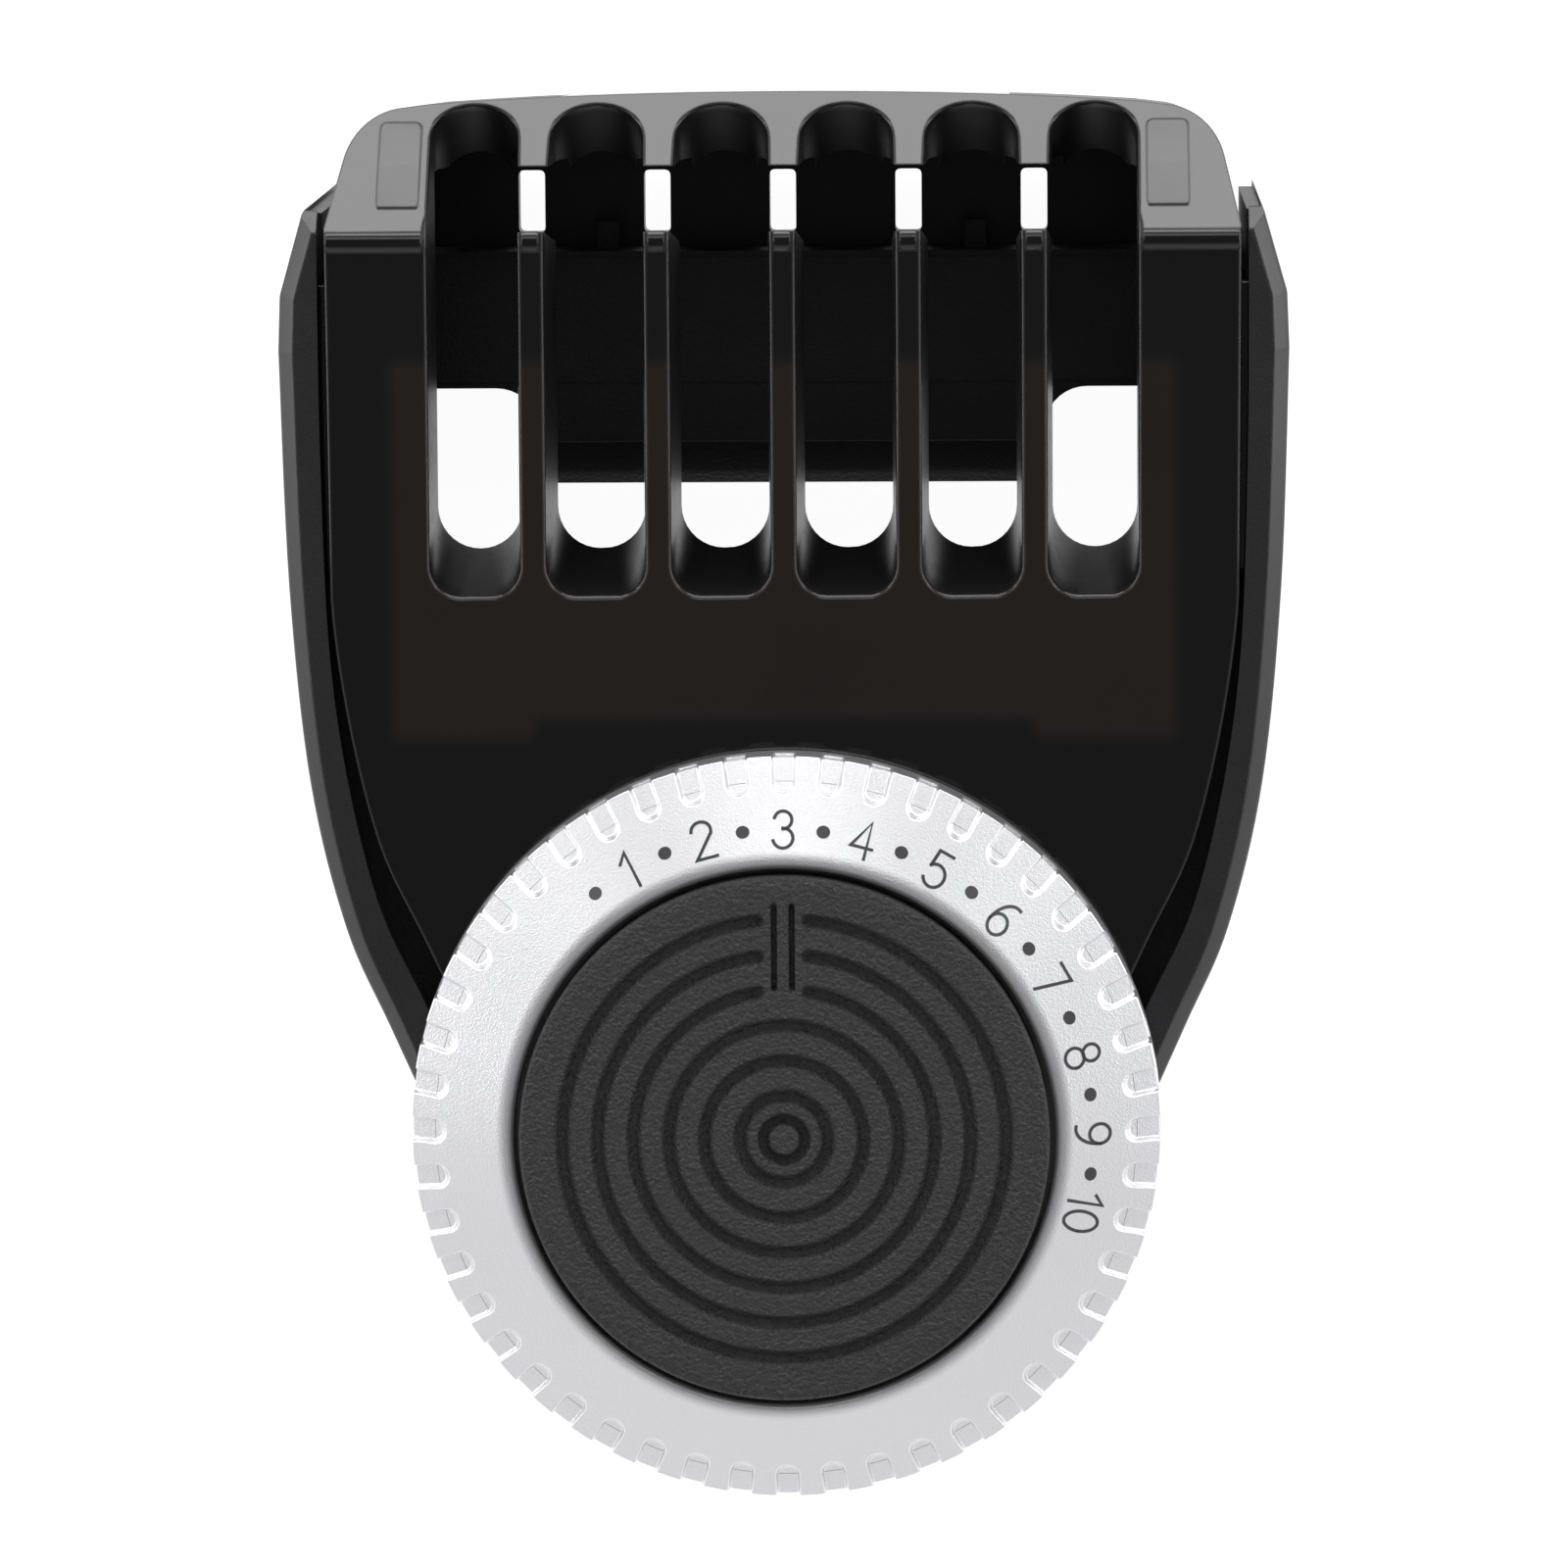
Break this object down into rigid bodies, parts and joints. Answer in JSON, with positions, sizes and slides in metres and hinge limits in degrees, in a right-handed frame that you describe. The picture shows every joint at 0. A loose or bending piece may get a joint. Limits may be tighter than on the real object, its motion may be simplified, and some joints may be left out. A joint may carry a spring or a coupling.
{
  "type": "adjustable trimmer comb attachment",
  "caption": "Adjustable comb attachment for a hair and beard trimmer: clip-on frame, sliding comb hood and a numbered length dial.",
  "frame": {"origin": "centre of the bounding box's footprint on the face the part rests on, the feet of the frame's two cheeks", "axes": "+X to the right seen from the dial side, +Y toward the comb's tips, +Z out of the dial"},
  "size_m": [0.0456, 0.0636, 0.0257],
  "materials": {
    "frame_black": "fine spark-eroded matte black",
    "comb_smoke": "polished dark smoke, faintly translucent",
    "dial_silver": "satin silver coating on plastic",
    "hub_black": "spark-eroded matte black",
    "acetal_white": "natural acetal",
    "steel": "bright steel"
  },
  "bodies": {
    "frame_body": {"frame": "frame_black", "bearing_post": "frame_black", "post_screw_1": "steel", "post_screw_2": "steel", "post_screw_3": "steel", "hub_cap": "hub_black", "centre_screw": "steel", "detent_spring": "steel", "detent_screw_1": "steel", "detent_screw_2": "steel", "wave_washer": "steel"},
    "dial": {"dial_ring": "dial_silver", "cam_disc": "acetal_white", "cam_screw_1": "steel", "cam_screw_2": "steel", "cam_screw_3": "steel", "cam_screw_4": "steel"},
    "comb_body": {"comb": "comb_smoke", "follower_pin": "steel"}
  },
  "joints": [
    {"name": "dial_turn", "type": "hinge", "parent": "frame_body", "child": "dial", "pos_m": [0, -0.01485, 0.022], "axis": [0, 0, 1], "range_deg": [-37.5, 105]},
    {"name": "comb_slide", "type": "slide", "parent": "frame_body", "child": "comb_body", "axis": [0, 1, 0], "range_m": [-0.0025, 0.007]}
  ],
  "couplings": [
    {"joint": "comb_slide", "follows": "dial_turn", "m_per_rad": 0.0038197}
  ]
}
